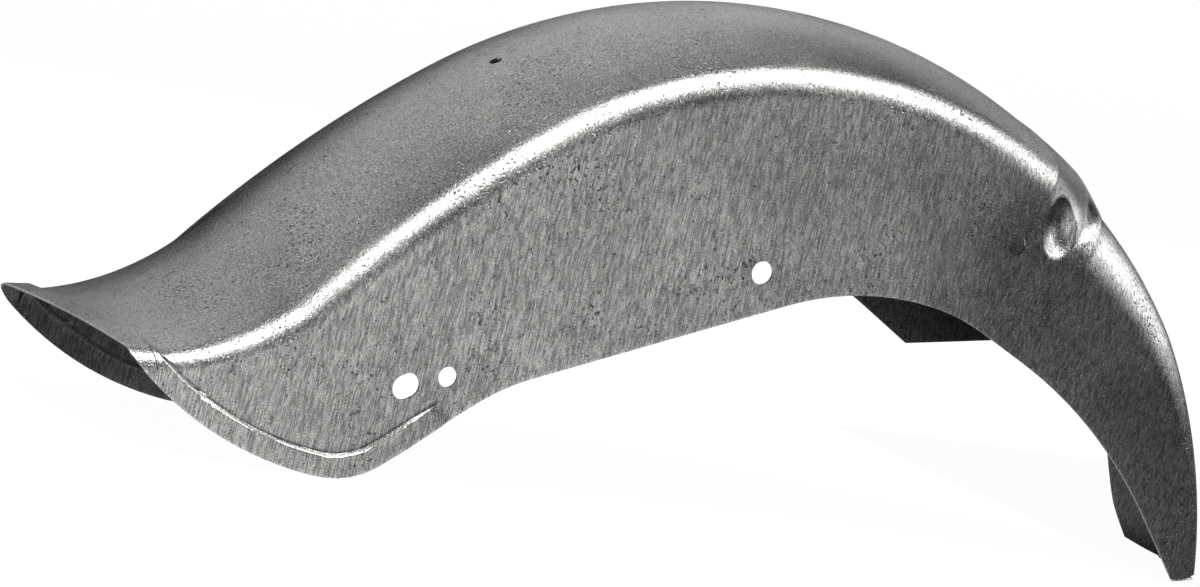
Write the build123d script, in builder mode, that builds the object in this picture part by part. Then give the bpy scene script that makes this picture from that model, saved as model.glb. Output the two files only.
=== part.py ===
"""Rear fender of a motorcycle, pressed and welded from one skin of raw sheet steel.

Side view is the XZ plane. The model is drawn about the centre of the wheel arch and set
down at the end on its tail lip and its front tip, +X to the front, +Z up.
Near side is -Y, the right side of the machine. Far side is +Y, the drive side.
"""

from build123d import *
import os
from math import acos, cos, degrees, radians, sin, sqrt

os.makedirs("parts", exist_ok=True)

# Sheet and the section across the fender, millimetres
sheet = 1.5
half_width = 101.5
camber_radius = 210.0
shoulder_radius = 25.0
wall_reach = 215.0

# Centre line of the crown in side view: arch, long run and upturned tail
crown_radius = 387.0
arch_start = 4.0
arch_end = 124.9
run_radius = 871.0
run_turn = 13.8
flip_radius = 177.0
flip_turn = 36.7
tail_run = 2.0

# The section flattens and its shoulders tighten towards the tail
tail_half_width = 97.0
tail_camber_radius = 1500.0
tail_shoulder_radius = 11.0

# Front end, drawn in between the frame rails: angles about the arch centre, degrees
taper_start = 72.0
taper_blend = 10.0
tip_angle = 9.0
tip_half_width = 56.5

# Neck: the crown flares up and its sides are beaten down, then it steps down to the front
flare_start = 64.0
fold_start = 62.2
flare_end = 54.5
neck_angle = 51.5
neck_flare = 5.7
neck_step = 10.0
front_rise = -0.2
rise_end = 36.0
tip_rise = -1.2
neck_camber_radius = 105.0
neck_shoulder_radius = 45.0
tip_shoulder_radius = 6.0

# Tail lip: where the rim starts below the crown, its bow in side view, its raised band
tail_drop = 5.0
rim_bow = 12.0
foot_flat = 26.0
band_width = 14.5
band_step = 3.5
band_fade = 0.75
band_end = 0.4

# Corners of the walls' lower edge: angle about the arch centre, depth below the crown
foot_corner = (169.1, 78.2)
belly_corner = (147.9, 139.1)
arch_corner = (75.5, 135.6)
bend_corner = (31.8, 81.2)
toe_corner = (8.9, 24.5)
toe_cut = 10.6
foot_fillet = 60.0
belly_fillet = 155.0
arch_fillet = 208.0
bend_fillet = 395.0
toe_fillet = 10.0

# The far wall is cut away in front of the arch to clear the drive belt
far_arch_corner = (74.7, 133.7)
tab_corner = (41.4, 128.2)
strip_start = (31.0, 10.0)
strip_middle = (20.0, 9.5)
strip_end = (10.4, 5.0)
strip_cut = 5.2
band_fade_corner = (156.3, 112.0)

# Holes through both walls, and one in the crown
strut_slot_corner = (156.2, 81.2)
strut_slot_width = 16.0
strut_slot_length = 19.5
strut_slot_tilt = 30.0
strut_hole_corner = (152.1, 102.5)
strut_hole = 13.5
stay_hole_corner = (100.0, 153.8)
stay_hole = 15.5
frame_hole_corner = (61.5, 77.2)
frame_hole = 13.5
seat_hole_angle = 122.9
seat_hole = 8.5

# Scooped dimple where the shoulder turns in
dimple_corner = (57.4, 44.7)
dimple_half_height = 27.0
dimple_half_width = 20.0
dimple_depth = 9.0

# Room that a cutting form is given beyond what it cuts
overcut = 30.0


def at(angle, depth):
    """Point in side view at an angle about the arch centre, a depth below the crown."""
    radius = crown_radius - depth
    return (radius * cos(radians(angle)), radius * sin(radians(angle)))


def ease(start, end, share):
    """Value between start and end that leaves and arrives without a kink."""
    share = min(max(share, 0.0), 1.0)
    return start + (end - start) * share * share * (3 - 2 * share)


def width_at(angle):
    """Half width at an angle of the arch: full, a soft bend inwards, then an even taper."""
    past = max(taper_start - angle, 0.0)
    pace = (half_width - tip_half_width) / (taper_start - taper_blend / 2 - tip_angle)
    if past < taper_blend:
        return half_width - pace * past * past / (2 * taper_blend)
    return half_width - pace * (past - taper_blend / 2)


def fold_at(angle):
    """Share of the beating down of the sides at an angle of the arch: quick, then slower."""
    share = (fold_start - angle) / (fold_start - flare_end)
    return min(max(share, 0.0), 1.0) ** 0.6


def shoulder_at(angle):
    """Radius of the shoulder between crown and wall at an angle of the arch."""
    if angle > neck_angle:
        return shoulder_radius + (neck_shoulder_radius - shoulder_radius) * fold_at(angle)
    share = min((neck_angle - angle) / (neck_angle - tip_angle), 1.0)
    return neck_shoulder_radius + (tip_shoulder_radius - neck_shoulder_radius) * share


def camber_at(angle):
    """Radius of the crown's camber: tightest where the flare ends, even elsewhere."""
    if angle > flare_end:
        return camber_radius + (neck_camber_radius - camber_radius) * fold_at(angle)
    share = (flare_end - angle) / (flare_end - neck_angle)
    return ease(neck_camber_radius, camber_radius, share)


def rise_at(angle):
    """Height of the crown over the arch: a flare up to the neck, a step down, a slow rise."""
    if angle > flare_end:
        share = (flare_start - angle) / (flare_start - flare_end)
        return neck_flare * max(share, 0.0)
    low = neck_flare - neck_step
    if angle > neck_angle:
        return ease(neck_flare, low, (flare_end - angle) / (flare_end - neck_angle))
    if angle > rise_end:
        return low + (front_rise - low) * (neck_angle - angle) / (neck_angle - rise_end)
    return front_rise + (tip_rise - front_rise) * (rise_end - angle) / (rise_end - arch_start)


with BuildLine(Plane.XZ) as crown_line:
    arch = CenterArc((0, 0), crown_radius, arch_start, arch_end - arch_start)
    run = JernArc(arch @ 1, arch % 1, run_radius, run_turn)
    flip = JernArc(run @ 1, run % 1, flip_radius, -flip_turn)


def station(edge, share, rise=0):
    """Plane across the crown line, its own upright pointing out of the crown."""
    across = Plane(edge @ share, x_dir=(0, 1, 0), z_dir=(edge % share) * -1)
    return Plane(across.origin + across.y_dir * rise, x_dir=(0, 1, 0), z_dir=across.z_dir)


def section(plane, half, shoulder, camber, grow):
    """Closed section: cambered crown, two round shoulders and two upright walls.

    The crown and each shoulder are tangent arcs. grow moves the whole line outwards.
    """
    side = half - shoulder
    drop = camber - sqrt((camber - shoulder) ** 2 - side**2)
    reach = (camber + grow) / (camber - shoulder)
    touch = (side * reach, -camber + (camber - drop) * reach)
    turn = Vector(shoulder + grow, 0).rotate(Axis.Z, degrees(acos(side / (camber - shoulder))) / 2)
    bend = (side + turn.X, -drop + turn.Y)
    with BuildSketch(plane) as outline:
        with BuildLine():
            ThreePointArc((-touch[0], touch[1]), (0, grow), touch)
            ThreePointArc(touch, bend, (half + grow, -drop))
            Polyline(
                (half + grow, -drop),
                (half + grow, -wall_reach),
                (-half - grow, -wall_reach),
                (-half - grow, -drop),
            )
            ThreePointArc((-half - grow, -drop), (-bend[0], bend[1]), (-touch[0], touch[1]))
        make_face()
    return outline.sketch


flare_angles = (flare_start, fold_start)
fold_angles = (fold_start, 59.6, 57, flare_end)
step_angles = (flare_end, 53.5, 52.5, neck_angle)
front_angles = (neck_angle, 40, 28, 16, arch_start)
taper_angles = (taper_start, 68, flare_start)
tail_shares = (0, 0.25, 0.5, 0.75, 1)


def arch_section(angle, grow):
    """Section of the front part of the arch at an angle of it."""
    share = (angle - arch_start) / (arch_end - arch_start)
    crown = station(arch, share, rise_at(angle))
    return section(crown, width_at(angle), shoulder_at(angle), camber_at(angle), grow)


def tail_section(share, grow):
    """Section at a share of the flip: width, shoulder and camber change evenly along it."""
    half = half_width + (tail_half_width - half_width) * share
    shoulder = shoulder_radius + (tail_shoulder_radius - shoulder_radius) * share
    camber = 1 / (1 / camber_radius + (1 / tail_camber_radius - 1 / camber_radius) * share)
    return section(station(flip, share), half, shoulder, camber, grow)


def tail_form(grow):
    """Flip of the skin, or of the band, as a closed form, run on straight past the rim."""
    with BuildPart() as form:
        loft([tail_section(share, grow) for share in tail_shares])
        extrude(tail_section(1, grow), amount=tail_run + overcut, dir=flip % 1)
    return form.part


def full_form(grow):
    """Whole closed form of the skin: lofted front, turned arch and run, lofted tail."""
    with BuildPart() as form:
        for angles in (taper_angles, flare_angles, fold_angles, step_angles, front_angles):
            loft([arch_section(angle, grow) for angle in angles])
        start = section(station(arch, 1), half_width, shoulder_radius, camber_radius, grow)
        revolve(start, Axis((0, 0, 0), (0, 1, 0)), arch_end - taper_start)
        start = section(station(run, 0), half_width, shoulder_radius, camber_radius, grow)
        revolve(start, Axis(run.arc_center, (0, -1, 0)), run_turn)
        add(tail_form(grow))
    return form.part


def band_form(grow):
    """Closed form of the raised band, which sinks into the wall forward of the flip."""
    high = band_step + grow
    low = band_end + grow
    fade_end = station(run, band_fade)
    with BuildPart() as form:
        add(tail_form(high))
        loft(
            [
                section(station(run, 1), half_width, shoulder_radius, camber_radius, high),
                section(fade_end, half_width, shoulder_radius, camber_radius, low),
            ]
        )
    return form.part


outer_form = full_form(0)
inner_form = full_form(-sheet)
band_outer = band_form(0)
band_inner = band_form(-sheet)

# Corners of the side outline, before they are rounded
tail_end = flip @ 1 + flip % 1 * tail_run
tail_out = station(flip, 1).y_dir
tail_low = tail_end - tail_out * tail_drop
tail_high = tail_end + tail_out * overcut
tail_tip = (tail_low.X, tail_low.Z)
above_tip = (tail_high.X, tail_high.Z)
foot = at(*foot_corner)
foot_start = (foot[0] - foot_flat, foot[1])
clear = crown_radius + 3 * overcut
near_end = at(toe_cut, -overcut)
far_end = at(strip_cut, -overcut)
outside = [(clear, clear), (-clear - overcut, clear), above_tip, tail_tip]

with BuildSketch(Plane.XZ) as near_outline:
    with BuildLine():
        SagittaArc(tail_tip, foot_start, -rim_bow)
        FilletPolyline(
            foot_start,
            foot,
            at(*belly_corner),
            at(*arch_corner),
            at(*bend_corner),
            at(*toe_corner),
            near_end,
            radius=[foot_fillet, belly_fillet, arch_fillet, bend_fillet, toe_fillet],
        )
        Polyline(near_end, (clear, near_end[1]), *outside)
    make_face()

with BuildSketch(Plane.XZ) as far_outline:
    with BuildLine():
        SagittaArc(tail_tip, foot_start, -rim_bow)
        FilletPolyline(
            foot_start,
            foot,
            at(*belly_corner),
            at(*far_arch_corner),
            at(*tab_corner),
            radius=[foot_fillet, belly_fillet, arch_fillet],
        )
        Line(at(*tab_corner), at(*strip_start))
        ThreePointArc(at(*strip_start), at(*strip_middle), at(*strip_end))
        Polyline(at(*strip_end), far_end, (clear, far_end[1]), *outside)
    make_face()

# Zone of side view that holds the band, ended square to the lower edge where it fades
fade = Vector(*at(*band_fade_corner))
along = (Vector(*at(*belly_corner)) - Vector(*foot)).normalized()
across = Vector(-along.Y, along.X)
zone_side = 2 * clear
with BuildSketch(Plane.XZ) as tail_zone:
    with BuildLine():
        Polyline(
            fade - across * zone_side,
            fade + across * zone_side,
            fade + across * zone_side - along * zone_side,
            fade - across * zone_side - along * zone_side,
            close=True,
        )
    make_face()


def border(outline, outer_inset, inner_inset):
    """Strip of a side outline between two insets of it, within the tail zone."""
    with BuildSketch(Plane.XZ) as strip:
        add(outline.sketch)
        if outer_inset > 0:
            offset(amount=-outer_inset, mode=Mode.REPLACE)
        offset(outline.sketch, amount=-inner_inset, mode=Mode.SUBTRACT)
        add(tail_zone.sketch, mode=Mode.INTERSECT)
    return strip.sketch


side_reach = half_width + overcut
both_sides = ((near_outline, side_reach), (far_outline, -side_reach))

with BuildPart() as plain_block:
    for outline, reach in both_sides:
        with BuildSketch(Plane.XZ):
            add(outline.sketch)
            add(border(outline, 0, band_width), mode=Mode.SUBTRACT)
        extrude(amount=reach)

with BuildPart() as band_block:
    for outline, reach in both_sides:
        with BuildSketch(Plane.XZ):
            add(border(outline, 0, band_width + sheet / 2))
        extrude(amount=reach)

with BuildPart() as step_block:
    for outline, reach in both_sides:
        with BuildSketch(Plane.XZ):
            add(border(outline, band_width - sheet / 2, band_width + sheet / 2))
        extrude(amount=reach)

with BuildPart() as band:
    add(band_outer)
    add(band_inner, mode=Mode.SUBTRACT)
    add(band_block.part, mode=Mode.INTERSECT)

with BuildPart() as step:
    add(band_outer)
    add(inner_form, mode=Mode.SUBTRACT)
    add(step_block.part, mode=Mode.INTERSECT)

scoop_place = Vector(*at(*dimple_corner))
scoop_out = width_at(dimple_corner[0]) + dimple_half_width - dimple_depth


def scoop(grow):
    """Egg-shaped form of the dimple, upright, turned about its long axis."""
    with BuildPart() as form:
        with BuildSketch(Plane.XZ):
            with Locations((scoop_place.X, scoop_place.Y)):
                Ellipse(dimple_half_width + grow, dimple_half_height + grow)
                with Locations((-overcut, 0)):
                    Rectangle(2 * overcut, 4 * overcut, mode=Mode.SUBTRACT)
        revolve(axis=Axis((scoop_place.X, 0, 0), (0, 0, 1)))
    return form.part.moved(Location((0, -scoop_out, 0)))


with BuildPart() as scoop_wall:
    add(scoop(sheet))
    add(scoop(0), mode=Mode.SUBTRACT)
    add(outer_form, mode=Mode.INTERSECT)

round_holes = (
    (strut_hole_corner, strut_hole),
    (stay_hole_corner, stay_hole),
    (frame_hole_corner, frame_hole),
)
seat_share = (seat_hole_angle - arch_start) / (arch_end - arch_start)
seat_plane = station(arch, seat_share)

with BuildPart() as fender:
    add(outer_form)
    add(inner_form, mode=Mode.SUBTRACT)
    add(plain_block.part, mode=Mode.INTERSECT)
    add(band.part)
    add(step.part)
    add(scoop(0), mode=Mode.SUBTRACT)
    add(scoop_wall.part)
    with BuildSketch(Plane.XZ):
        with Locations(at(*strut_slot_corner)):
            SlotOverall(strut_slot_length, strut_slot_width, rotation=strut_slot_tilt)
        for corner, bore in round_holes:
            with Locations(at(*corner)):
                Circle(bore / 2)
    extrude(amount=side_reach, both=True, mode=Mode.SUBTRACT)
    with BuildSketch(Plane(seat_plane.origin, x_dir=(0, 1, 0), z_dir=seat_plane.y_dir)):
        Circle(seat_hole / 2)
    extrude(amount=overcut / 2, both=True, mode=Mode.SUBTRACT)

# Set down on its lowest points, with the origin under the middle of its box
box = fender.part.bounding_box()
rested = fender.part.moved(Location((-box.center().X, -box.center().Y, -box.min.Z)))
rested.label = "fender"
export_step(rested, "parts/fender.step")
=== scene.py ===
import bpy
import numpy as np
from mathutils import Matrix, Vector


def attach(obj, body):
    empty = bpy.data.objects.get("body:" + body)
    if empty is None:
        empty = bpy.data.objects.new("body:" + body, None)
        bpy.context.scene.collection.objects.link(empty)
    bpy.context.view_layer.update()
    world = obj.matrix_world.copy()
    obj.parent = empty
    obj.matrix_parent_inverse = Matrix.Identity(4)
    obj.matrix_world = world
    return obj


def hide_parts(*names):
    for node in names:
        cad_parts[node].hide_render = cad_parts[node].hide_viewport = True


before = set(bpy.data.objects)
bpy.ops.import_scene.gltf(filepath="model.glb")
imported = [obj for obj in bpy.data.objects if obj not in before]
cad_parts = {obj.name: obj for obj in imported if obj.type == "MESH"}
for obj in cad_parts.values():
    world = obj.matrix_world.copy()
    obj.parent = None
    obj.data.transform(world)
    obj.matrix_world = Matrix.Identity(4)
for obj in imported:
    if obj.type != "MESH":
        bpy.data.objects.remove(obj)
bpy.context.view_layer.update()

# Camera: a long lens seven metres off, on the near side and a little behind the fender.
# It looks down slightly and leans to the right, as the part lies at a slant in the picture.
scene = bpy.context.scene
camera_place = (-3.60987822, -5.95870794, 1.02175571)
camera_right = Vector((0.85116591, -0.47562421, 0.22203198))
camera_up = Vector((-0.12825105, 0.22173245, 0.96663664))
lens_length, sensor_width, nearest, furthest = 323.4, 36, 1, 60


def put(name, data):
    """Adds an object with this data to the scene."""
    made = bpy.data.objects.new(name, data)
    scene.collection.objects.link(made)
    return made


def stand(made, place, right, up, back):
    """Puts a camera or lamp at a place, turned to the three axes that it is given."""
    turned = Matrix((right, up, back)).transposed().to_4x4()
    made.matrix_world = Matrix.Translation(place) @ turned


camera = put("camera", bpy.data.cameras.new("camera"))
stand(camera, camera_place, camera_right, camera_up, camera_right.cross(camera_up))
camera.data.lens = lens_length
camera.data.sensor_width = sensor_width
camera.data.clip_start = nearest
camera.data.clip_end = furthest
scene.camera = camera
scene.view_settings.view_transform = "Standard"

# Studio: white paper on the floor of a white room, and the steel reflects both.
# The paper glows a little less than white, so the lamps finish it and the fender's shadow stays.
paper_colour, paper_glow, floor_half = "404040", 0.975, 25.0
room_light, room_white = 0.6, 1.0


def linear(colour):
    """Linear RGBA of an sRGB hex colour: a straight foot, then a power of 2.4."""
    parts = [int(colour[i : i + 2], 16) / 255 for i in (0, 2, 4)]
    return [p / 12.92 if p <= 0.04045 else ((p + 0.055) / 1.055) ** 2.4 for p in parts] + [1]


def bare_tree(owner):
    """Node tree of a material or a world, with nothing in it."""
    owner.use_nodes = True
    owner.node_tree.nodes.clear()
    return owner.node_tree


def node(tree, kind, settings=None, values=None, links=None):
    """Adds a node with its settings and input values, and joins its inputs to other outputs."""
    made = tree.nodes.new(kind)
    for name, value in (settings or {}).items():
        setattr(made, name, value)
    for name, value in (values or {}).items():
        made.inputs[name].default_value = value
    for name, source in (links or {}).items():
        tree.links.new(source, made.inputs[name])
    return made


def show(tree, output, plain, seen):
    """Gives one shader to the rays of the camera, metal and glass, and a plain one to the rest."""
    path = node(tree, "ShaderNodeLightPath")
    mask = path.outputs["Is Camera Ray"]
    for ray in ("Is Glossy Ray", "Is Transmission Ray"):
        both = {0: mask, 1: path.outputs[ray]}
        mask = node(tree, "ShaderNodeMath", {"operation": "MAXIMUM"}, links=both).outputs[0]
    shaders = {0: mask, 1: plain.outputs[0], 2: seen.outputs[0]}
    mixed = node(tree, "ShaderNodeMixShader", links=shaders)
    node(tree, output, links={"Surface": mixed.outputs[0]})


def flat_sheet(name, corners, material):
    """Flat sheet that stands in the studio and isn't part of the object."""
    mesh = bpy.data.meshes.new(name)
    mesh.from_pydata(corners, [], [tuple(range(len(corners)))])
    mesh.materials.append(material)
    made = put(name, mesh)
    return made


paper = bpy.data.materials.new("paper")
tree = bare_tree(paper)
matt = node(tree, "ShaderNodeBsdfDiffuse", values={"Color": linear(paper_colour)})
glow = node(tree, "ShaderNodeEmission", values={"Strength": paper_glow})
lit = node(tree, "ShaderNodeAddShader", links={0: matt.outputs[0], 1: glow.outputs[0]})
show(tree, "ShaderNodeOutputMaterial", matt, lit)
square = ((-1, -1), (1, -1), (1, 1), (-1, 1))
flat_sheet("floor", [(x * floor_half, y * floor_half, 0) for x, y in square], paper)

room = bpy.data.worlds.new("room")
scene.world = room
tree = bare_tree(room)
dim, bright = (
    node(tree, "ShaderNodeBackground", values={"Color": (1, 1, 1, 1), "Strength": strength})
    for strength in (room_light, room_white)
)
show(tree, "ShaderNodeOutputWorld", dim, bright)

# Cards: dull black boards, unseen by the camera, and the steel is dark where it reflects them.
# They stand at the right, over the front softbox and behind, and hang beside the overhead ones.
# A grey one lies on the floor by the front end. Their corners are in metres.
black_colour, grey_colour, card_lift = "202020", "505050", 0.003
black_cards = {
    "card right": [(0.85, -1.6, 0.01), (3.2, -1.6, 0.01), (3.2, -1.6, 1.4), (0.85, -1.6, 1.4)],
    "card above": [(-0.5, -1.6, 0.4), (0.85, -1.6, 0.4), (0.85, -1.6, 1.4), (-0.5, -1.6, 1.4)],
    "card ceiling": [(-1.6, -0.3, 2.4), (2.2, -0.1, 2.4), (2.2, 0.7, 2.4), (-1.6, 0.7, 2.4)],
    "card behind": [(-0.9, 1.6, 0.01), (3.4, 1.6, 0.01), (3.4, 1.6, 0.7), (-0.9, 1.6, 0.7)],
    "card low": [(1.1, -1.0, 0.01), (1.25, 0.7, 0.01), (1.25, 0.7, 0.27), (1.1, -1.0, 0.27)],
    "card high": [(1.0, 0.7, 2.4), (3.5, 0.3, 2.4), (4.5, 3.2, 2.4), (1.6, 2.6, 2.4)],
}
floor_corners = [(0.4, 0.4), (0.4, -0.4), (0.85, -1.6), (3.5, -3.0), (3.5, 0.6)]
floor_cards = {"card on floor": [(x, y, card_lift) for x, y in floor_corners]}


def dull_cards(paint_name, colour, cards):
    """Cards in dull paint of one colour, which the camera doesn't see."""
    paint = bpy.data.materials.new(paint_name)
    tree = bare_tree(paint)
    matt = node(tree, "ShaderNodeBsdfDiffuse", values={"Color": linear(colour)})
    node(tree, "ShaderNodeOutputMaterial", links={"Surface": matt.outputs[0]})
    for name, corners in cards.items():
        flat_sheet(name, corners, paint).visible_camera = False


dull_cards("black card", black_colour, black_cards)
dull_cards("grey card", grey_colour, floor_cards)

# Lights: two long softboxes overhead draw the white line along the shoulder.
# A low one in front lights the near wall, and two at the far right light the front end.
# Each runs from one point to another in metres, with its width in metres and power in watts.
lamp_target = Vector((0.0, 0.0, 0.25))
softboxes = {
    "overhead": ((0.1, -0.6, 2.1), (2.8, -1.15, 1.9), 0.48, 85),
    "overhead rear": ((-1.5, -1.6, 1.9), (0.0, -0.6, 2.1), 0.48, 55),
    "front": ((-0.45, -1.7, 0.19), (0.8, -1.7, 0.19), 0.34, 2.7),
    "far right": ((2.3, -1.2, 0.84), (2.4, 0.45, 0.84), 0.52, 16),
    "far right low": ((2.3, -1.8, 0.38), (2.3, -1.1, 0.38), 0.36, 6),
}
for name, (start, end, width, power) in softboxes.items():
    start, end = Vector(start), Vector(end)
    light = bpy.data.lights.new(name, "AREA")
    light.shape = "RECTANGLE"
    light.size, light.size_y = (end - start).length, width
    light.energy = power
    place = (start + end) / 2
    along = (end - start).normalized()
    away = place - lamp_target
    away = (away - along * away.dot(along)).normalized()
    stand(put(name, light), place, along, away.cross(along), away)

# Fender: one skin of 1.5 mm sheet steel that arches over the rear wheel and turns up at the tail.
# It is pressed, drawn in at the front, welded into one and left raw, and bolts to its struts
# through the walls. Its sizes are in millimetres, and in degrees about the centre of its arch.
mm, thickness = 0.001, 1.5
centre_to_origin = np.array([47.955, 0, -57.897])
half_width, camber_radius, shoulder_radius = 101.5, 210.0, 25.0
crown_radius, arch_end = 387.0, 124.9
run_radius, run_turn = 871.0, 13.8
flip_radius, flip_turn, tail_run = 177.0, 36.7, 2.0
arch_length = crown_radius * np.radians(arch_end)
run_length = run_radius * np.radians(run_turn)
flip_length = flip_radius * np.radians(flip_turn)
flip_start = arch_length + run_length
crown_length = flip_start + flip_length + tail_run


def crown_line(u):
    """Side-view point and outward angle at a distance along the crown.

    Three arcs meet at a tangent, and a straight run follows. The angle grows by distance over
    radius on the first two arcs and falls on the third, which bends the other way. The point is
    a sum of three steps, each along the angle that its arc has reached: the arc's radius less
    the next one's, where the third's counts as negative.
    """
    arch = np.minimum(u, arch_length) / crown_radius
    run = arch + np.clip(u - arch_length, 0, run_length) / run_radius
    flip = run - np.clip(u - flip_start, 0, flip_length) / flip_radius
    rest = np.maximum(u - flip_start - flip_length, 0)
    first, second = crown_radius - run_radius, run_radius + flip_radius
    x = first * np.cos(arch) + second * np.cos(run) - flip_radius * np.cos(flip)
    z = first * np.sin(arch) + second * np.sin(run) - flip_radius * np.sin(flip)
    return x - rest * np.sin(flip), z + rest * np.cos(flip), flip


def below(u, depth):
    """Side-view point at a depth below the crown, straight in from a distance along it."""
    x, z, angle = crown_line(u)
    return x - depth * np.cos(angle), z - depth * np.sin(angle)


# The front end is drawn in between the frame rails, with a neck where it is beaten down.
# Going forward, the crown flares up to the neck and falls by a step. The tail is flatter.
taper_start, taper_blend, tip_angle, tip_half_width = 72.0, 10.0, 9.0, 56.5
flare_start, fold_start, flare_end, neck_angle = 64.0, 62.2, 54.5, 51.5
fold_power, neck_flare, neck_step = 0.6, 5.7, 10.0
rise_angles, front_rise, tip_rise = (4.0, 36.0), -0.2, -1.2
neck_camber_radius, neck_shoulder_radius, tip_shoulder_radius = 105.0, 45.0, 6.0
tail_half_width, tail_camber_radius, tail_shoulder_radius = 97.0, 1500.0, 11.0


def ease(low, high, share):
    """Value between low and high that leaves and arrives level: 3 share squared less 2 cubed."""
    share = np.clip(share, 0, 1)
    return low + (high - low) * share**2 * (3 - 2 * share)


def form(u):
    """Half width, shoulder radius, camber radius and rise of the crown at a distance along it.

    The half width falls as a parabola through the blend, then evenly to the tip, and evenly
    along the tail's flip. The shoulder opens by a power of the share of the neck's fold, closes
    evenly to the tip and tightens along the flip. The camber tightens with the shoulder, eases
    back over the neck's step, and its curvature falls evenly along the flip. The rise climbs
    evenly up the flare, eases down the step and then goes straight from angle to angle.
    """
    angle = np.degrees(u / crown_radius)
    past = np.clip(taper_start - angle, 0, None)
    pace = (half_width - tip_half_width) / (taper_start - taper_blend / 2 - tip_angle)
    drawn = np.where(past < taper_blend, past**2 / (2 * taper_blend), past - taper_blend / 2)
    flip = np.clip((u - flip_start) / flip_length, 0, 1)
    half = half_width - pace * drawn + (tail_half_width - half_width) * flip
    fold = np.clip((fold_start - angle) / (fold_start - flare_end), 0, 1) ** fold_power
    front = np.clip((neck_angle - angle) / (neck_angle - tip_angle), 0, 1)
    shoulder = shoulder_radius + (neck_shoulder_radius - shoulder_radius) * fold
    shoulder = shoulder + (tip_shoulder_radius - neck_shoulder_radius) * front
    shoulder = shoulder + (tail_shoulder_radius - shoulder_radius) * flip
    camber = camber_radius + (neck_camber_radius - camber_radius) * fold
    step = (flare_end - angle) / (flare_end - neck_angle)
    camber = np.where(angle < flare_end, ease(neck_camber_radius, camber_radius, step), camber)
    curvature = 1 / camber_radius + (1 / tail_camber_radius - 1 / camber_radius) * flip
    camber = np.where(u > flip_start, 1 / curvature, camber)
    flare = neck_flare * np.clip((flare_start - angle) / (flare_start - flare_end), 0, 1)
    low = neck_flare - neck_step
    rise = np.interp(angle, [*rise_angles, neck_angle], [tip_rise, front_rise, low])
    rise = np.where(angle > neck_angle, ease(neck_flare, low, step), rise)
    return half, shoulder, camber, np.where(angle > flare_end, flare, rise)


def arcs(u):
    """Form at a distance along the crown, and the turn and girths where its arcs end.

    The two arcs meet at a tangent, where the sine of the turn is the half width over the camber
    radius, both less the shoulder radius. A girth grows by an arc's radius times its turn.
    """
    half, shoulder, camber, rise = form(u)
    turn = np.arcsin((half - shoulder) / (camber - shoulder))
    camber_end = camber * turn
    shoulder_end = camber_end + shoulder * (np.pi / 2 - turn)
    return half, shoulder, camber, rise, turn, camber_end, shoulder_end


def section(u, s):
    """Width, depth and outward tilt at a distance round the half section from the crown.

    It follows the camber's arc, then the shoulder's tighter one, and then the wall straight
    down. The tilt is distance over radius on each arc, and a right angle on the wall.
    """
    half, shoulder, camber, rise, turn, camber_end, shoulder_end = arcs(u)
    on_camber = s < camber_end
    past_camber = np.minimum(turn + (s - camber_end) / shoulder, np.pi / 2)
    tilt = np.where(on_camber, s / camber, past_camber)
    centre = camber - (camber - shoulder) * np.cos(turn)
    width = np.where(on_camber, camber * np.sin(tilt), half - shoulder + shoulder * np.sin(tilt))
    depth = np.where(on_camber, camber * (1 - np.cos(tilt)), centre - shoulder * np.cos(tilt))
    return width, depth + np.maximum(s - shoulder_end, 0) - rise, tilt


# The walls are trimmed to side outlines, given as corners: an angle and a depth below the crown.
# The far wall is cut away in front to clear the drive belt, all but a strip beside the crown.
foot_corner, belly_corner, arch_corner = (169.1, 78.2), (147.9, 139.1), (75.5, 135.6)
bend_corner, toe_corner, toe_cut = (31.8, 81.2), (8.9, 24.5), 10.6
fillets = [60.0, 155.0, 208.0, 395.0, 10.0]
far_arch_corner, tab_corner = (74.7, 133.7), (41.4, 128.2)
strip_start, strip_middle, strip_end, strip_cut = (31.0, 10.0), (20.0, 9.5), (10.4, 5.0), 5.2
tail_drop, rim_bow, foot_flat, overcut = 5.0, 12.0, 26.0, 30.0


def at(angle, depth):
    """Side-view point at an angle about the arch centre, a depth below the crown."""
    turn = np.radians(angle)
    return (crown_radius - depth) * np.array([np.cos(turn), np.sin(turn)])


def rounded(corners, radii, pieces=16):
    """Polyline with its inner corners rounded by tangent arcs.

    An arc's centre lies on the corner's bisector, at the radius over the sine of half the
    corner's angle. Its points blend its two radii by the sines of their shares of the sweep.
    """
    points = [corners[0]]
    share = np.linspace(0, 1, pieces)[:, None]
    for before, corner, after, radius in zip(corners, corners[1:], corners[2:], radii):
        back = (before - corner) / np.linalg.norm(before - corner)
        on = (after - corner) / np.linalg.norm(after - corner)
        half_angle = np.arccos(back @ on) / 2
        bisector = (back + on) / np.linalg.norm(back + on)
        centre = corner + bisector * radius / np.sin(half_angle)
        start = corner + back * radius / np.tan(half_angle) - centre
        end = corner + on * radius / np.tan(half_angle) - centre
        sweep = np.pi - 2 * half_angle
        spoke = np.sin((1 - share) * sweep) * start + np.sin(share * sweep) * end
        points += list(centre + spoke / np.sin(sweep))
    return points + [corners[-1]]


def bowed(start, end, bow, pieces=24):
    """Points from start to end, moved sideways by the bow times a parabola that is 1 midway."""
    share = np.linspace(0, 1, pieces)[:, None]
    chord = end - start
    side = np.array([-chord[1], chord[0]]) / np.linalg.norm(chord)
    return list(start + chord * share + side * bow * 4 * share * (1 - share))


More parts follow.
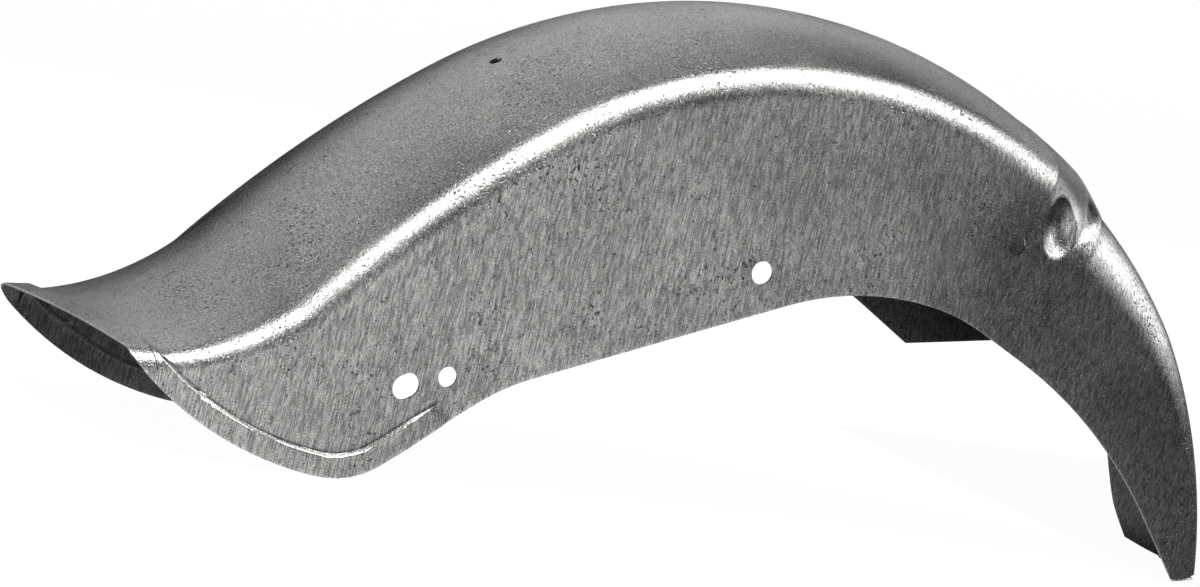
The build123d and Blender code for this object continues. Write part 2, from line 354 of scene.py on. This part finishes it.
end_x, end_z, end_angle = crown_line(crown_length)
tail_edge, tail_out = np.array([end_x, end_z]), np.array([np.cos(end_angle), np.sin(end_angle)])
foot, belly = at(*foot_corner), at(*belly_corner)
foot_start = foot - (foot_flat, 0)
rim = [tail_edge + tail_out * overcut]
rim += bowed(tail_edge - tail_out * tail_drop, foot_start, -rim_bow)[:-1]
rear = [foot_start, foot, belly]
near_front = [at(*arch_corner), at(*bend_corner), at(*toe_corner), at(toe_cut, -overcut)]
far_front = [at(*far_arch_corner), at(*tab_corner)]
strip = [at(*strip_start), at(*strip_middle), at(*strip_end), at(strip_cut, -overcut)]
near_outline = np.array(rim + rounded(rear + near_front, fillets))
far_outline = np.array(rim + rounded(rear + far_front, fillets[: len(rear)]) + strip)


def crossings(top, down, outline):
    """How many times each vector goes into the way from its point to an outline in side view.

    A line and an edge meet where both cross products of the gap between their starts, over the
    cross product of their directions, give a share of the edge from 0 to 1. The least depth
    counts, and the outline's first edge, which stands above the crown, is left out.
    """
    slack, least = 1e-6, 0.02
    start, step = outline[1:-1], np.diff(outline, axis=0)[1:]
    gap = start[None] - top[:, None]
    cross = down[:, None, 0] * step[None, :, 1] - down[:, None, 1] * step[None, :, 0]
    depth = (gap[..., 0] * step[None, :, 1] - gap[..., 1] * step[None, :, 0]) / cross
    share = (gap[..., 0] * down[:, None, 1] - gap[..., 1] * down[:, None, 0]) / cross
    met = (share >= -slack) & (share <= 1 + slack) & (depth > least)
    return np.where(met, depth, np.inf).min(1)


def edge_distance(x, z, outline):
    """Least distance in side view to an outline: to the nearest point of each edge in turn."""
    least = np.full(x.shape, np.inf)
    for start, end in zip(outline[:-1], outline[1:]):
        step = end - start
        share = ((x - start[0]) * step[0] + (z - start[1]) * step[1]) / (step @ step)
        share = np.clip(share, 0, 1)
        gap = np.hypot(x - start[0] - share * step[0], z - start[1] - share * step[1])
        least = np.minimum(least, gap)
    return least


# A band is raised round the tail's edge, and sinks into the wall forward of the flip.
# Columns of the grid follow the crown, closer at the neck and at the band. Rows go round each
# half section, closer at the band's inner edge, and columns lean to the trimmed front edge.
band_width, band_step, band_end, band_fade = 14.5, 3.5, 0.4, 0.75
# The band's inner edge takes painted shade and the trimmed edge a painted highlight, each of its
# own width.
fade_corner, lip, crease_shade_width, edge_highlight_width = (156.3, 112.0), 2.6, 1.0, 0.8
front_cut = toe_corner[0] + (toe_cut - toe_corner[0]) * toe_corner[1] / (toe_corner[1] + overcut)
front_u, band_u = crown_radius * np.radians(front_cut), crown_length - band_width
band_from = arch_length + band_fade * run_length
neck_columns, column_gaps = (50.5, 63.0), (4.5, 4.5, 4.0, 1.5, 6.0)
band_before, band_after, tail_counts = 5, 4, (64, 13, 6)
columns = [front_u]
stops = [front_cut, strip_start[0], tab_corner[0], *neck_columns, arch_end]
for start, end, gap in zip(stops, stops[1:], column_gaps):
    span = crown_radius * np.radians(end - start)
    columns += list(columns[-1] + span * np.linspace(0, 1, round(span / gap) + 1)[1:])
stops = [arch_length, band_u - band_before, band_u + band_after, crown_length]
for start, end, count in zip(stops, stops[1:], tail_counts):
    columns += list(np.linspace(start, end, count)[1:])
columns = np.array(columns)
camber_rows, shoulder_rows, wall_rows = 10, 20, 36
rim_rows = np.array([0, 2.5, 5.5, 9.0, 11.3, 12.5, 13.4, 14.2, 15.0, 15.8, 16.8, 18.5])
lean_fade, first_inset, probe, girth_spare, girth_samples = 40, 0.3, 20, 300, 800
camber_share, shoulder_share = 0.55, 0.75
rim_reach, rim_stretch, rim_squeeze, wall_fade = 60, 2.6, 0.05, 50


def spread(start, end, count):
    """Rows at even shares of the girth from start, which is left out, to end."""
    return start + (end - start) * np.linspace(0, 1, count + 1)[1:, None]


def half_skin(side, outline, slope, inset):
    """Points of one half of the skin, from the crown to the wall's trimmed edge, and their marks.

    Each column's girth is where the section reaches the depth at which the outline crosses it,
    and its rows share that out among camber, shoulder, wall and rim. The rim's rows keep their
    distance from a slanting edge, so they stretch by the way along the wall to the band's inner
    edge over its width, and they squeeze where the wall is short. A point leans along the crown
    by the slope, in degrees per millimetre of depth, and moves along the section's normal: out
    by the band's height, which eases to its full step as the distance to the outline falls
    through the band's width, and in by the inset. Painted shade along the band's inner edge and a
    painted highlight along the trimmed edge are marked by the exponential of minus the square of
    the distance from them over their width.
    """
    lean = crown_radius * np.radians(slope) * (1 - ease(0, 1, (columns - front_u) / lean_fade))
    inside = columns + np.where(columns < front_u + 1, first_inset, 0)
    top = np.stack(below(inside, 0), -1)
    down = np.stack(below(inside + probe * lean, probe), -1) - top
    cut_depth = probe * crossings(top, down, outline)
    camber_end, shoulder_end = arcs(columns)[-2:]
    reach = shoulder_end + girth_spare
    share = np.linspace(0, 1, girth_samples)[:, None]
    depths = section(columns[None], share * reach)[1]
    girth = np.array(
        [np.interp(cut, depths[:, i], share[:, 0] * reach[i]) for i, cut in enumerate(cut_depth)]
    )
    camber_end = np.minimum(camber_end, camber_share * girth)
    shoulder_end = np.minimum(shoulder_end, shoulder_share * girth)

    back = np.maximum(girth - np.linspace(0, rim_reach, rim_reach + 1)[:, None], 0)
    away = edge_distance(*below(columns, section(columns[None], back)[1]), outline)
    band_found = np.argmax(away > band_width, axis=0)
    scale = np.clip(np.where(band_found > 0, band_found / band_width, 1), 1, rim_stretch)
    scale = scale * np.clip((girth - shoulder_end) / wall_fade, rim_squeeze, 1)
    rows = [
        0 * girth[None],
        spread(0, camber_end, camber_rows),
        spread(camber_end, shoulder_end, shoulder_rows),
        spread(shoulder_end, girth - rim_rows[-1] * scale, wall_rows),
        girth - rim_rows[-2::-1, None] * scale,
    ]
    s = np.concatenate(rows)

    u = np.broadcast_to(columns, s.shape)
    u = u + lean * np.clip(section(u, s)[1], 0, None)
    width, depth, tilt = section(u, s)
    x, z = below(u, depth)
    away = edge_distance(x, z, outline)
    along, fade = (belly - foot) / np.linalg.norm(belly - foot), at(*fade_corner)
    behind = (fade[0] - x) * along[0] + (fade[1] - z) * along[1]
    band = np.interp(u, [band_from, flip_start], [band_end, band_step])
    band = band * ease(0, 1, (band_width + lip / 2 - away) / lip) * ease(0, 1, behind / lip)
    x, z = below(u, depth - (band - inset) * np.cos(tilt))
    # Painted shade along the band's inner edge.
    crease_shade = np.exp(-(((away - band_width - lip / 2) / crease_shade_width) ** 2))
    crease_shade = crease_shade * np.clip(band_step - band, 0, 1) * (u > band_from) * (behind > -lip)
    # A painted highlight along the trimmed edge.
    edge_highlight = np.exp(-((away / edge_highlight_width) ** 2))
    return np.stack([x, side * (width + (band - inset) * np.sin(tilt)), z, crease_shade, edge_highlight], -1)


# A dimple is punched beside the neck, egg-shaped and pressed into the near shoulder.
# The skin keeps whichever lies further in, the wall or the punch, with a soft lip.
dimple_corner, dimple_half_height, dimple_half_width = (57.4, 44.7), 27.0, 20.0
dimple_depth, dimple_lip = 9.0, 0.8


def dimpled(half, inset):
    """Near side's points, pushed in to the surface of the punch where it reaches further in.

    The punch is an ellipsoid: its reach is its width times the root of what the squares of the
    shares of width and height leave of 1. The further of two faces is half their sum plus half
    the hypotenuse of their gap and the lip.
    """
    centre = at(*dimple_corner)
    wall = form(crown_radius * np.radians(dimple_corner[0]))[0]
    wide, high = dimple_half_width + inset, dimple_half_height + inset
    x, y, z, crease_shade, edge_highlight = np.moveaxis(half, -1, 0)
    left = 1 - ((x - centre[0]) / wide) ** 2 - ((z - centre[1]) / high) ** 2
    bowl = np.sqrt(np.clip(left, 0, 1)) * wide - (wall + dimple_half_width - dimple_depth)
    pushed = (y + bowl + np.hypot(y - bowl, dimple_lip)) / 2
    return np.stack([x, np.where(left > 0, pushed, y), z, crease_shade, edge_highlight], -1)


def skin_face(inset):
    """Points from the near edge over the crown to the far edge, and their marks of painted shade
    and painted highlight.
    """
    near_slope = (toe_corner[0] - front_cut) / toe_corner[1]
    far_slope = (strip_end[0] - front_cut) / strip_end[1]
    near = dimpled(half_skin(-1, near_outline, near_slope, inset), inset)
    far = half_skin(1, far_outline, far_slope, inset)
    grid = np.concatenate([near[::-1], far[1:]], 0)
    return grid[..., :3] + centre_to_origin, grid[..., 3], grid[..., 4]


# The sheet's outer and inner faces are joined by a strip of quads along the trimmed edge.
# A fold crosses the near shoulder ahead of the dimple, and shade is painted dark along it. Its
# ends are measured from the origin, and its painted shade is the exponential of minus the fourth
# power of the gap over its reach.
fold_from, fold_to, fold_shade_reach = np.array([226, -89, 257]), np.array([264, -62, 246]), 12.0
# Each face carries its painted shade along the band's inner edge and its painted highlight along
# the trimmed edge.
outer, outer_crease_shade, outer_edge_highlight = skin_face(0.0)
inner, inner_crease_shade, inner_edge_highlight = skin_face(thickness)
rows, cols = outer.shape[:2]
index = np.arange(rows * cols).reshape(rows, cols)
quads = [index[:-1, :-1], index[1:, :-1], index[1:, 1:], index[:-1, 1:]]
faces = np.stack(quads, -1).reshape(-1, 4)
edge = np.concatenate([index[:-1, 0], index[-1, :-1], index[:0:-1, -1], index[0, :0:-1]])
after = np.roll(edge, -1)
border = np.stack([edge, edge + rows * cols, after + rows * cols, after], -1)
skin = bpy.data.meshes.new("skin")
skin.from_pydata(
    (np.concatenate([outer.reshape(-1, 3), inner.reshape(-1, 3)]) * mm).tolist(),
    [],
    np.concatenate([faces, faces[:, ::-1] + rows * cols, border]).tolist(),
)
# Painted shade along the fold, darkest on its line.
fold_line = fold_to - fold_from
share = np.clip((outer - fold_from) @ fold_line / (fold_line @ fold_line), 0, 1)[..., None]
fold_gap = np.linalg.norm(outer - fold_from - share * fold_line, axis=-1)
fold_shade = np.exp(-((fold_gap / fold_shade_reach) ** 4)).ravel()
# Painted shade along the fold and the band's inner edge, a painted highlight along the trimmed
# edges, and the inner face.
marks = {
    "fold": np.append(fold_shade, 0 * fold_shade),
    "inside": np.repeat([0.0, 1.0], rows * cols),
    "crease_shade": np.append(outer_crease_shade, inner_crease_shade),
    "edge_highlight": np.append(outer_edge_highlight, inner_edge_highlight),
}
for name, values in marks.items():
    skin.attributes.new(name, "FLOAT", "POINT").data.foreach_set("value", values)
fender = put("fender_sheet", skin)

# Holes are punched: a slot and three round ones through both walls, and one in the crown.
# The punched sheet is one mesh, shaded smooth but for the arrises of its edges.
slot_corner, slot_width, slot_length, slot_tilt = (156.2, 81.2), 16.0, 19.5, 30.0
round_holes = (((152.1, 102.5), 13.5), ((100.0, 153.8), 15.5), ((61.5, 77.2), 13.5))
seat_hole_angle, seat_hole, punch_reach = 122.9, 8.5, 12.0
ring_points, arris_angle = 48, 35


def prism(start, end):
    """Closed prism between two rings of points: a side for each pair of points, and two ends."""
    count = len(start)
    sides = [(i, i + count, (i + 1) % count + count, (i + 1) % count) for i in range(count)]
    ends = [tuple(range(count)), tuple(range(2 * count - 1, count - 1, -1))]
    return np.concatenate([start, end]), ends + sides


ring = np.linspace(0, 2 * np.pi, ring_points, endpoint=False)
circle = np.stack([np.cos(ring), np.sin(ring)], -1)
axis = np.array([np.cos(np.radians(slot_tilt)), np.sin(np.radians(slot_tilt))])
stretch = np.sign(circle @ axis)[:, None] * axis * (slot_length - slot_width) / 2
shapes = [at(*slot_corner) + circle * slot_width / 2 + stretch]
shapes += [at(*corner) + circle * bore / 2 for corner, bore in round_holes]
past_wall = np.full(ring_points, half_width + overcut)
prisms = [
    prism(*(np.stack([shape[:, 0], end, shape[:, 1]], -1) for end in (-past_wall, past_wall)))
    for shape in shapes
]
across, seat_turn = (0, 1, 0), np.radians(seat_hole_angle)
lift = np.array([np.cos(seat_turn), 0, np.sin(seat_turn)])
seat_circle = circle @ np.array([np.cross(lift, across), across]) * seat_hole / 2
seat_ring = crown_radius * lift + seat_circle
prisms.append(prism(seat_ring - punch_reach * lift, seat_ring + punch_reach * lift))
points, sides = [], []
for ends, added in prisms:
    sides += [tuple(i + len(points) for i in face) for face in added]
    points += list(map(tuple, (ends + centre_to_origin) * mm))
mesh = bpy.data.meshes.new("punches")
mesh.from_pydata(points, [], sides)
punches = put("punches", mesh)
cut = fender.modifiers.new("holes", "BOOLEAN")
cut.operation = "DIFFERENCE"
cut.solver = "FAST"
cut.object = punches
graph = bpy.context.evaluated_depsgraph_get()
punched = bpy.data.meshes.new_from_object(fender.evaluated_get(graph))
fender.modifiers.clear()
fender.data = punched
bpy.data.objects.remove(punches)
punched.shade_smooth()
punched.set_sharp_from_angle(angle=np.radians(arris_angle))

# Raw pressed steel, scoured but not polished: a dull grey that blurs what it reflects.
# Clouds, upright scouring lines, pits and scabs of old scale break it up. Painted shade darkens
# the band's inner edge and the fold, a painted highlight brightens the trimmed edges, and the
# inside is darkened with painted shade.
# The inside's colour is a darker copy of the steel's, as painted shade.
steel_colour, shaded_inside_colour = linear("8a8b89"), linear("484848")
metallic, bump_strength, relief = 1.0, 0.5, 0.3
# Width and length of each pattern's marks in millimetres, then the noise's detail and roughness.
# Real grain and lines are near 0.1 mm wide, and are drawn a pixel or so wide, so that they show.
patterns = {
    "grain": (0.6667, 0.6667, 2, 0.75),
    "lines": (1.111, 9.26, 2, 0.6),
    "pits": (2.381, 2.381, 1, 0.5),
    "scab zone": (41.67, 41.67, 3, 0.5),
    "cloud": (90.9, 90.9, 4, 0.6),
}
# Each layer maps a source from one range to another. The scabs and the tone are products of
# their layers, and the roughness and the height, in units of the relief, are sums.
scab_layers = [("scab zone", 0.52, 0.62, 0, 1), ("pits", 0.6, 0.65, 0, 1)]
tone_layers = [
    ("cloud", 0.3, 0.7, 0.84, 1.14),
    ("grain", 0.38, 0.62, 0.5, 1.5),
    ("lines", 0.38, 0.62, 0.62, 1.4),
    ("pits", 0.7, 0.75, 1.0, 0.3),
    ("scabs", 0, 1, 1.0, 0.4),
    # Painted shade darkens the band's inner edge.
    ("crease_shade", 0, 1, 1.0, 0.25),
    # A painted highlight brightens the trimmed edges.
    ("edge_highlight", 0, 1, 1.0, 1.35),
    # Painted shade darkens the fold.
    ("fold", 0, 1, 1.0, 0.3),
]
rough_layers = [
    ("cloud", 0.3, 0.7, 0.23, 0.32),
    ("grain", 0.3, 0.7, -0.08, 0.08),
    ("inside", 0, 1, 0, 0.15),
]
height_layers = [
    ("grain", 0, 1, 0, 1),
    ("lines", 0, 1, 0, 0.4),
    ("scabs", 0, 1, 0, -1),
    ("pits", 0.66, 0.76, 0, -1),
]
steel = bpy.data.materials.new("raw pressed steel")
steel.use_nodes = True
tree = steel.node_tree
shader = tree.nodes["Principled BSDF"]
shader.inputs["Metallic"].default_value = metallic
spot = node(tree, "ShaderNodeTexCoord").outputs["Object"]
sources = {
    name: node(tree, "ShaderNodeAttribute", {"attribute_name": name}).outputs["Fac"]
    for name in marks
}
for name, (wide, long, detail, rough) in patterns.items():
    shrink = (1, 1, round(wide / long, 2))
    mapping = node(tree, "ShaderNodeMapping", values={"Scale": shrink}, links={"Vector": spot})
    noise = node(
        tree,
        "ShaderNodeTexNoise",
        values={"Scale": round(1 / (wide * mm)), "Detail": detail, "Roughness": rough},
        links={"Vector": mapping.outputs[0]},
    )
    sources[name] = noise.outputs["Fac"]


def layered(operation, layers):
    """Sum or product of layers, each of which maps a source to its range and holds the ends."""
    total = None
    for name, low, high, to_low, to_high in layers:
        ends = {1: low, 2: high, 3: to_low, 4: to_high}
        layer = node(tree, "ShaderNodeMapRange", values=ends, links={0: sources[name]})
        if total is not None:
            both = {0: total.outputs[0], 1: layer.outputs[0]}
            layer = node(tree, "ShaderNodeMath", {"operation": operation}, links=both)
        total = layer
    return total.outputs[0]


sources["scabs"] = layered("MULTIPLY", scab_layers)
# The inner face takes the darker colour: painted shade.
base = node(
    tree,
    "ShaderNodeMix",
    {"data_type": "RGBA"},
    values={6: steel_colour, 7: shaded_inside_colour},
    links={0: sources["inside"]},
)
colour = node(
    tree,
    "ShaderNodeVectorMath",
    {"operation": "SCALE"},
    links={0: base.outputs[2], "Scale": layered("MULTIPLY", tone_layers)},
)
bump = node(
    tree,
    "ShaderNodeBump",
    values={"Strength": bump_strength, "Distance": relief * mm},
    links={"Height": layered("ADD", height_layers)},
)
tree.links.new(colour.outputs[0], shader.inputs["Base Color"])
tree.links.new(layered("ADD", rough_layers), shader.inputs["Roughness"])
tree.links.new(bump.outputs[0], shader.inputs["Normal"])
fender.data.materials.clear()
fender.data.materials.append(steel)
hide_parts("fender")
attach(fender, "root")
